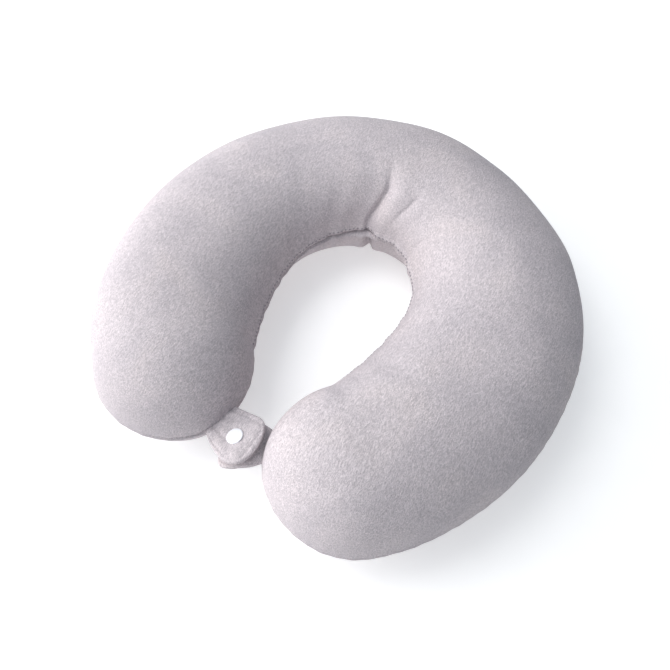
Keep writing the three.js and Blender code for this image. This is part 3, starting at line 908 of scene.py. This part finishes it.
def tab_puff(along, across, edge):
    """How far a tab's face stands out: small ripples, a slanting wrinkle, a groove inside the edge."""
    ripple = 0.00022 * math.sin(520 * along + 260 * across) + 0.00018 * math.sin(900 * across - 300 * along)
    slant = (along + 0.0100) * 0.31 + (across + 0.0022) * 0.95
    lengthwise = (along + 0.0100) * 0.95 - (across + 0.0022) * 0.31
    wrinkle = 0.0012 * math.exp(-(slant / 0.0012) ** 2 - (lengthwise / 0.0046) ** 2)
    groove = 0.00045 * math.exp(-((edge - 0.0030) / 0.0007) ** 2)
    return (0.0007 + ripple) * (1 - math.exp(-(edge / 0.004) ** 2)) - wrinkle - groove


def build_ply(name, line, length, taper, low, high, material):
    """One ply of a tab: a thin padded leaf with rolled edges, dented where the snap grips it."""
    long_steps, wide_steps = 54, 40
    inner_face, outer_face = [], []
    way = 1 if high > low else -1
    for step in range(long_steps + 1):
        share = 1 - (1 - step / long_steps) ** 1.6
        tip_distance = (1 - share) * length
        half = tab_half_width(tip_distance)
        front_half = half * (1 - taper[0] * (1 - share) ** taper[1])
        for place in range(wide_steps + 1):
            across = math.sin(math.pi / 2 * (2 * place / wide_steps - 1))
            y = SNAP.y + across * (front_half if across < 0 else half)
            base, lean = line(share, y)
            up = Vector((-math.sin(lean), 0, math.cos(lean)))
            edge = min(half * (1 - abs(across)), tip_distance)
            roll = math.sqrt(max(0.0, 1 - (1 - min(1.0, edge / TAB_EDGE_ROLL)) ** 2))
            along = (base - SNAP).dot(TAB_ALONG)
            from_snap = math.hypot(along, y - SNAP.y)
            dent = SNAP_DENT * math.exp(-(from_snap / SNAP_DENT_RADIUS) ** 4)
            puff = tab_puff(along, y - SNAP.y, edge)
            grown = (high - low) * (0.25 + 0.75 * roll) + (puff - dent) * way
            inner_face.append(base + up * low)
            outer_face.append(base + up * (low + grown))
    piece = make_object(name, inner_face + outer_face, leaf_faces(long_steps + 1, wide_steps + 1))
    piece.data.materials.append(material)
    return piece


def build_tabs(material):
    """Two plies for each tab, shaped from the sewn root, on the pillow, to the tab's free part."""
    upper_length = TAB_REACH + (SNAP.x - arm_wall(SNAP.y) + TAB_SEWN_IN) / math.cos(TILT)
    middle = PLY + PLY_GAP / 2
    tabs = (
        ("upper_tab", upper_line, upper_length, UPPER_TAPER),
        ("lower_tab", lower_line, LOWER_LENGTH, LOWER_TAPER),
    )
    faces = (("_top", middle + PLY_CLEARANCE, 2 * middle), ("_bottom", middle - PLY_CLEARANCE, 0.0))
    for body, line, length, taper in tabs:
        for side, low, high in faces:
            piece = build_ply(body + side, line, length, taper, low, high, material)
            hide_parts(body + side + "_ply")
            line(0.12, SNAP.y)[0]
            line(0.42, SNAP.y)[0]
            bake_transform(piece)


# ---- the snap ----

def turned_piece(name, profile, material, body, *nodes):
    """A piece turned about the snap's axis from (radius, height) points."""
    vertices = []
    for radius, height in profile:
        for side in range(SNAP_SIDES):
            angle = 2 * math.pi * side / SNAP_SIDES
            spot = TAB_ALONG * (radius * math.cos(angle)) + Vector((0, 1, 0)) * (radius * math.sin(angle))
            vertices.append(SNAP + spot + TAB_UP * height)
    faces = ring_faces(0, len(profile), SNAP_SIDES)
    if profile[0][0] < 1e-4:
        faces += end_faces(0, len(profile), SNAP_SIDES)
    piece = make_object(name, vertices, faces)
    bevel = piece.modifiers.new("round", "BEVEL")
    bevel.width = 0.00008
    bevel.segments = 2
    bevel.limit_method = "ANGLE"
    apply_modifiers(piece)
    return dress(piece, material, body, "snap_resin", *nodes)


def cap_profile(seat, spread, facing):
    """A low dome with a rounded rim and a slight centre dish, on a post with a spread end."""
    post, head = 0.0009, 0.0014
    rim = [(0, spread - facing * 0.0004), (head, spread - facing * 0.0004), (head, spread), (post, spread)]
    rim += [(post, seat), (CAP_RADIUS * 0.96, seat)]
    rim += [(CAP_RADIUS, seat + facing * 0.00025), (CAP_RADIUS * 0.995, seat + facing * 0.0005)]
    for step in range(1, 13):
        share = step / 12
        radius = CAP_RADIUS * 0.985 * math.cos(share * math.pi / 2)
        rise = 0.0005 + 0.0007 * math.sin(share * math.pi / 2) ** 0.8
        rim.append((max(radius, 0.00001), seat + facing * rise))
    return rim


def build_snap(material):
    top = 2 * PLY + 2 * PLY_GAP
    turned_piece("snap_cap_top", cap_profile(top, -0.0014, 1), material, "upper_tab", "snap_cap_upper")
    low = LOWER_STACK - PLY_GAP
    turned_piece("snap_cap_under", cap_profile(low, -0.0031, -1), material, "lower_tab", "snap_cap_lower")
    hole, bore, body = 0.00125, 0.0029, 0.00495
    socket = [
        (hole, -0.0003), (body - 0.0002, -0.0003), (body, -0.0005), (body, -0.0011),
        (body - 0.0004, -0.0016), (bore + 0.0012, -0.0030), (bore + 0.0008, -0.0033), (bore, -0.0033),
        (bore, -0.0011), (hole, -0.0011), (hole, -0.0003),
    ]
    turned_piece("snap_socket_ring", socket, material, "upper_tab", "snap_socket")
    knob = 0.0022
    stud = [
        (hole, -0.0046), (body - 0.0002, -0.0046), (body, -0.0044), (body, -0.0038),
        (body - 0.0002, -0.0036), (knob - 0.0001, -0.0036), (knob - 0.0001, -0.0029), (knob, -0.0025),
        (knob - 0.0003, -0.0021), (knob - 0.0006, -0.0021), (knob - 0.0006, -0.0034), (hole, -0.0034),
        (hole, -0.0046),
    ]
    turned_piece("snap_stud_knob", stud, material, "lower_tab", "snap_stud")


# ---- the zip and the label ----

def zip_point(angle, inset, up):
    radius = ZIP_RADIUS - inset
    return ZIP_CENTRE + Vector((radius * math.sin(angle), radius * math.cos(angle), up))


def build_coil(name, side, material, node):
    """A coil of monofilament: flattened turns whose heads face the other coil."""
    turns = int(2 * ZIP_COIL_END * ZIP_RADIUS / COIL_PITCH)
    per_turn, around = 12, 6
    inset_middle = sum(COIL_INSETS) / 2
    inset_half = (COIL_INSETS[1] - COIL_INSETS[0]) / 2 - COIL_WIRE
    up_middle = sum(COIL_REACH) / 2
    up_half = (COIL_REACH[1] - COIL_REACH[0]) / 2 - COIL_WIRE
    offset = 0.5 * COIL_PITCH / ZIP_RADIUS if side > 0 else 0.0
    centres = []
    for step in range(turns * per_turn + 1):
        phase = 2 * math.pi * step / per_turn
        angle = -ZIP_COIL_END + offset + step / per_turn * COIL_PITCH / ZIP_RADIUS
        squared = abs(math.cos(phase)) ** 0.7 * math.copysign(1, math.cos(phase))
        centres.append(zip_point(
            angle, inset_middle + inset_half * math.sin(phase), side * (up_middle - up_half * squared)))
    vertices = []
    for place, centre in enumerate(centres):
        before = centres[max(0, place - 1)]
        after = centres[min(len(centres) - 1, place + 1)]
        along = (after - before).normalized()
        first = along.orthogonal() if place == 0 else first - along * first.dot(along)
        first.normalize()
        second = along.cross(first)
        for turn in range(around):
            spin = 2 * math.pi * turn / around
            vertices.append(centre + (first * math.cos(spin) + second * math.sin(spin)) * COIL_WIRE)
    faces = ring_faces(0, len(centres), around) + end_faces(0, len(centres), around)
    dress(make_object(name, vertices, faces), material, "pillow", "zip_coil", node)


def rounded_copy(name, node, width, material, body, slot):
    """A CAD piece again, with its edges rolled over as in a die casting."""
    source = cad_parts[node]
    piece = bpy.data.objects.new(name, source.data.copy())
    bpy.context.scene.collection.objects.link(piece)
    work = bmesh.new()
    work.from_mesh(piece.data)
    bmesh.ops.remove_doubles(work, verts=work.verts, dist=0.00001)
    bmesh.ops.dissolve_limit(work, angle_limit=0.02, verts=work.verts, edges=work.edges)
    work.to_mesh(piece.data)
    work.free()
    bevel = piece.modifiers.new("round", "BEVEL")
    bevel.width = width
    bevel.segments = 3
    bevel.limit_method = "ANGLE"
    bevel.angle_limit = math.radians(35)
    apply_modifiers(piece)
    piece.data.polygons.foreach_set("use_smooth", [True] * len(piece.data.polygons))
    piece.data.set_sharp_from_angle(angle=math.radians(40))
    return dress(piece, material, body, slot, node)


def build_zip(materials):
    build_coil("zip_teeth_upper", 1, materials["filament"], "zip_coil_upper")
    build_coil("zip_teeth_lower", -1, materials["filament"], "zip_coil_lower")
    rounded_copy("zip_slider_body", "zip_slider", 0.0003, materials["nickel"], "slider", "nickel")
    rounded_copy("zip_pull_tab", "zip_pull", 0.0002, materials["nickel"], "pull", "nickel")
    rounded_copy("zip_end_left", "zip_stop_left", 0.0003, materials["nickel"], "pillow", "nickel")
    rounded_copy("zip_end_right", "zip_stop_right", 0.0003, materials["nickel"], "pillow", "nickel")


def build_label(material, points, stations, fall):
    """The blank care label: a woven tape that hangs from the seam and follows the lower panel."""
    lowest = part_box("care_label")[0].z
    aside = np.abs(stations["angle"] - LABEL_ANGLE) * ARM_RADIUS
    columns = list(np.nonzero((stations["kind"] > 0) & (aside < LABEL_HALF_WIDTH))[0])
    rows = [
        row for row in range(len(fall))
        if fall[row] > math.pi / 2 and points[row, columns[len(columns) // 2], 2] > lowest
    ]
    patch = points[np.ix_(rows, columns)]
    normal = normals_of(points)[np.ix_(rows, columns)]
    curl = np.linspace(0, 1, len(rows))[:, None, None] ** 3 * LABEL_CURL
    layers = [(patch + normal * (lift + curl)).reshape(-1, 3) for lift in LABEL_LIFTS]
    piece = make_object("care_label_tape", np.concatenate(layers), leaf_faces(len(rows), len(columns)))
    dress(piece, material, "pillow", "label_tape", "care_label")


# ---- the studio ----

def build_studio():
    """A pale floor, a soft key light from the left, a weak one overhead and a pale surround."""
    corners = [(TABLE_HALF * x, TABLE_HALF * y, 0) for x, y in ((-1, -1), (1, -1), (1, 1), (-1, 1))]
    floor = make_object("floor", corners, [[0, 1, 2, 3]], smooth=False)
    paper, tree, shader = new_material("floor_paper", (0.82, 0.82, 0.82), 0.9)
    grain = noise_node(tree, 60, 2)
    set_tone(tree, shader, grain, ((0.3, (0.81, 0.81, 0.81)), (0.7, (0.83, 0.83, 0.83))))
    shader.inputs["Emission Color"].default_value = (1, 1, 1, 1)
    shader.inputs["Emission Strength"].default_value = TABLE_GLOW
    floor.data.materials.append(paper)
    build_surround()
    add_light("key", *KEY_LIGHT)
    add_light("overhead", *OVERHEAD_LIGHT)


def build_surround():
    """A tent of light, bright on the key's side and falling off evenly towards the other."""
    world = bpy.data.worlds.new("surround")
    world.use_nodes = True
    tree = world.node_tree
    place = tree.nodes.new("ShaderNodeTexCoord")
    facing = tree.nodes.new("ShaderNodeVectorMath")
    facing.operation = "DOT_PRODUCT"
    facing.inputs[1].default_value = KEY_DIRECTION
    tree.links.new(place.outputs["Generated"], facing.inputs[0])
    level = tree.nodes.new("ShaderNodeMapRange")
    level.inputs["From Min"].default_value = DARK_FACING
    level.inputs["To Min"].default_value = SURROUND_STRENGTH[0]
    level.inputs["To Max"].default_value = SURROUND_STRENGTH[1]
    tree.links.new(facing.outputs["Value"], level.inputs["Value"])
    tree.links.new(level.outputs["Result"], tree.nodes["Background"].inputs["Strength"])
    tint = colour_ramp(tree, facing.outputs["Value"], ((0.0, (0.74, 0.87, 1.0)), (0.8, (1.0, 0.99, 0.99))))
    tree.links.new(tint, tree.nodes["Background"].inputs["Color"])
    bpy.context.scene.world = world


def add_light(name, place, size, power):
    lamp = bpy.data.lights.new(name, "AREA")
    lamp.shape = "DISK"
    lamp.size = size
    lamp.energy = power
    light = bpy.data.objects.new(name, lamp)
    light.location = place
    light.rotation_mode = "QUATERNION"
    light.rotation_quaternion = (-place).to_track_quat("-Z", "Y")
    bpy.context.scene.collection.objects.link(light)


def build_camera():
    """Looks down over the mouth's right side, near enough for a strong perspective."""
    back = Vector((
        math.sin(CAMERA_AZIMUTH) * math.cos(CAMERA_ELEVATION),
        -math.cos(CAMERA_AZIMUTH) * math.cos(CAMERA_ELEVATION),
        math.sin(CAMERA_ELEVATION),
    ))
    lens = bpy.data.cameras.new("camera")
    lens.lens = CAMERA_LENS
    lens.sensor_width = 36
    lens.shift_x, lens.shift_y = CAMERA_SHIFT
    lens.clip_start = 0.01
    camera = bpy.data.objects.new("camera", lens)
    camera.location = Vector((0, CENTRE_Y, SEAM_Z)) + back * CAMERA_DISTANCE
    camera.rotation_mode = "QUATERNION"
    camera.rotation_quaternion = back.to_track_quat("Z", "Y")
    bpy.context.scene.collection.objects.link(camera)
    bpy.context.scene.camera = camera


# ---- all of it ----

def build_all():
    build_camera()
    build_studio()
    bpy.context.scene.view_settings.view_transform = "Standard"
    materials = {
        "velvet": velvet_material(),
        "lining": woven_material("lining", (0.80, 0.77, 0.73), 420),
        "tape": woven_material("zip_tape", (0.52, 0.49, 0.52), 700),
        "label": woven_material("label_weave", (0.88, 0.88, 0.86), 900, 0.7),
        "foam": foam_material(),
        "resin": resin_material(),
        "nickel": nickel_material(),
        "filament": filament_material(),
        "thread": thread_material(),
    }
    for node in ("zip_tape_upper", "zip_tape_lower"):
        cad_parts[node].material_slots[0].material = materials["tape"]
    stations, fall, points = shaped_cover()
    build_cover(materials["velvet"], stations, points)
    build_filling(materials["lining"], materials["foam"], stations, points)
    build_stitches(materials["thread"], stations, points)
    build_label(materials["label"], points, stations, fall)
    build_tabs(materials["velvet"])
    build_snap(materials["resin"])
    build_zip(materials)


build_all()
